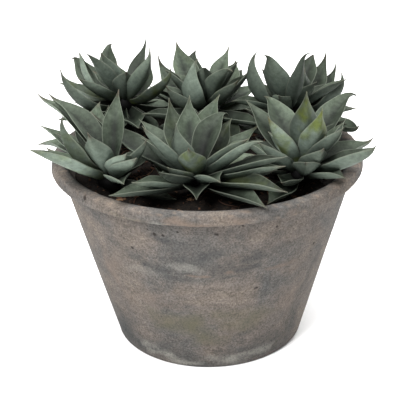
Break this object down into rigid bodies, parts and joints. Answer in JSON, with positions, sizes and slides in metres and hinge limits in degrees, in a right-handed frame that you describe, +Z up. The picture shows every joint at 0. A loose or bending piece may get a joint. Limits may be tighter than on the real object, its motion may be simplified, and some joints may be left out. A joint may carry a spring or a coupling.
{
  "type": "potted houseleek",
  "caption": "Tapered terracotta pot with a banded rim, filled with soil and planted with houseleek rosettes of pointed grey-green leaves.",
  "frame": {"origin": "centre of the pot's foot, where it rests", "axes": "+Z up through the pot, +X to the right and -Y towards the viewer of the picture"},
  "size_m": [0.2934, 0.3129, 0.2603],
  "materials": {
    "terracotta": "matte, weathered",
    "soil": "matte, crumbly",
    "leaf": "matte, waxy bloom"
  },
  "bodies": {
    "root": {"pot": "terracotta", "soil": "soil", "rosette_front": "leaf", "rosette_left": "leaf", "rosette_right": "leaf", "rosette_back_middle": "leaf", "rosette_back_left": "leaf", "rosette_back_right": "leaf"}
  },
  "joints": []
}
